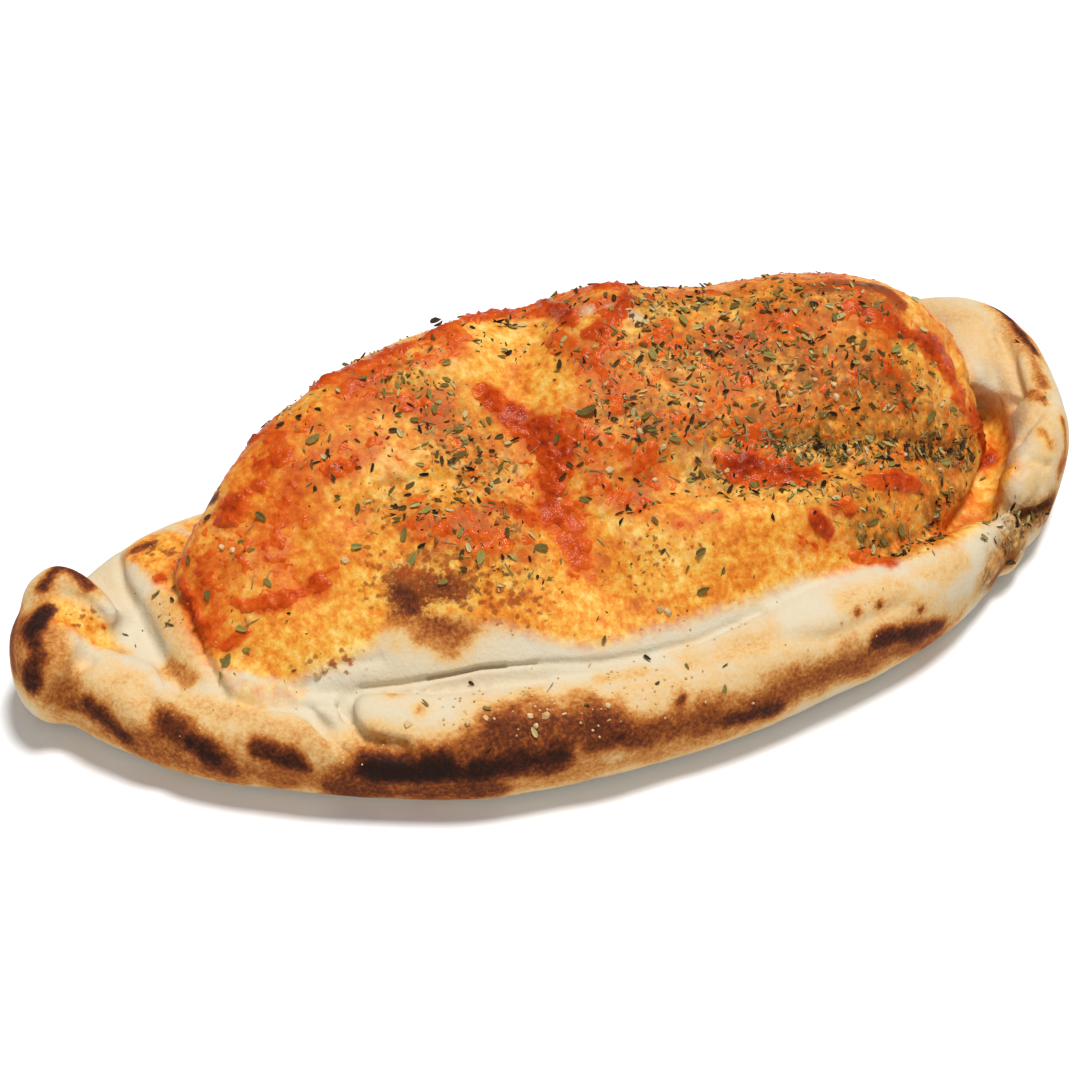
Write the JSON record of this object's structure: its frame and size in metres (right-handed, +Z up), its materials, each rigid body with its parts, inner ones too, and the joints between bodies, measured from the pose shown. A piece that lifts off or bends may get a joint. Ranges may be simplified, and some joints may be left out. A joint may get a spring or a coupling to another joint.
{
  "type": "calzone",
  "caption": "Baked folded pizza dough: domed top flap with fused herb flakes, rolled rim along the front, folded ear at one end, walled pocket at the other, flat underside.",
  "frame": {"origin": "centre of the outline in plan, on the flat underside", "axes": "+X along the length from the folded ear to the open pocket, -Y to the rolled front rim, +Z up"},
  "size_m": [0.3126, 0.1442, 0.0725],
  "materials": {
    "baked_dough": "baked dough, golden to pale, browned in patches, slightly oily on top"
  },
  "bodies": {
    "root": {"calzone": "baked_dough"}
  },
  "joints": []
}
